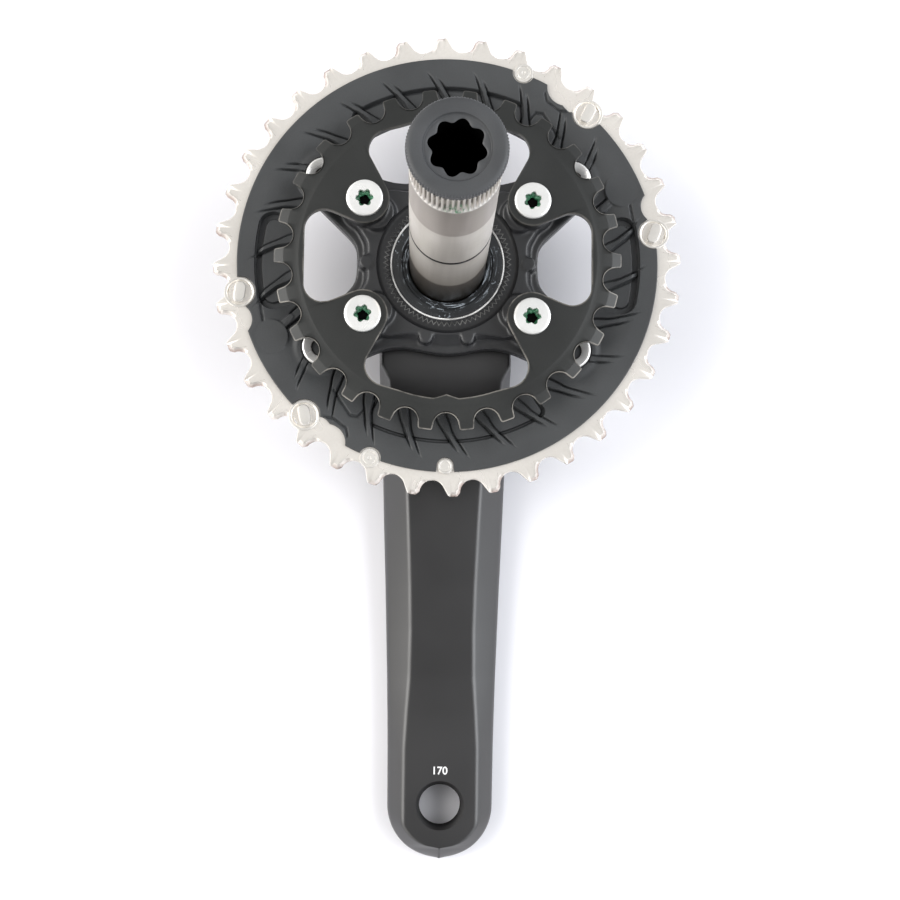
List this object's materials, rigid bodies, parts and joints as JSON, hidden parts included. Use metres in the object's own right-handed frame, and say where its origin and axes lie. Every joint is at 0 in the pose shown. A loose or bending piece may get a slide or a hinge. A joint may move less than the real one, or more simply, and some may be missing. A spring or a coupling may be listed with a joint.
{
  "type": "bicycle crankset",
  "caption": "Drive-side crank arm with hollow spindle, spider, large and small chainrings, ring bolts, shift pins and a preload cap.",
  "frame": {"origin": "on the spindle axis, at the flat outer face of the hub", "axes": "+Z along the spindle towards its free end, -Y from the spindle to the pedal hole, +X completes the right-handed set"},
  "size_m": [0.1478, 0.2605, 0.1604],
  "materials": {
    "arm_finish": "satin black anodised",
    "spider_finish": "satin black anodised",
    "spindle_steel": "ground steel",
    "cap_plastic": "moulded black",
    "tooth_steel": "satin pale steel",
    "carrier_composite": "fibre-filled composite, matte",
    "small_ring_finish": "satin black anodised",
    "bolt_steel": "bright plated",
    "nut_steel": "bright turned",
    "pin_steel": "satin pale steel"
  },
  "bodies": {
    "crank": {"crank_arm": "arm_finish", "spindle": "spindle_steel", "spider": "spider_finish", "outer_chainring": "tooth_steel", "outer_chainring_carrier": "carrier_composite", "inner_chainring": "small_ring_finish", "chain_drop_pin": "pin_steel", "inner_ring_bolt_1": "bolt_steel", "inner_ring_bolt_2": "bolt_steel", "inner_ring_bolt_3": "bolt_steel", "inner_ring_bolt_4": "bolt_steel", "outer_ring_nut_1": "nut_steel", "outer_ring_nut_2": "nut_steel", "outer_ring_nut_3": "nut_steel", "outer_ring_nut_4": "nut_steel", "outer_ring_bolt_1": "bolt_steel", "outer_ring_bolt_2": "bolt_steel", "outer_ring_bolt_3": "bolt_steel", "outer_ring_bolt_4": "bolt_steel", "shift_pin_1": "pin_steel", "shift_pin_2": "pin_steel", "shift_pin_3": "pin_steel", "shift_pin_4": "pin_steel", "shift_rivet_1": "pin_steel", "shift_rivet_2": "pin_steel"},
    "cap": {"preload_cap": "cap_plastic"}
  },
  "joints": [
    {"name": "cap_unscrew", "type": "slide", "parent": "crank", "child": "cap", "axis": [0, 0, 1], "range_m": [0, 0.013]}
  ]
}
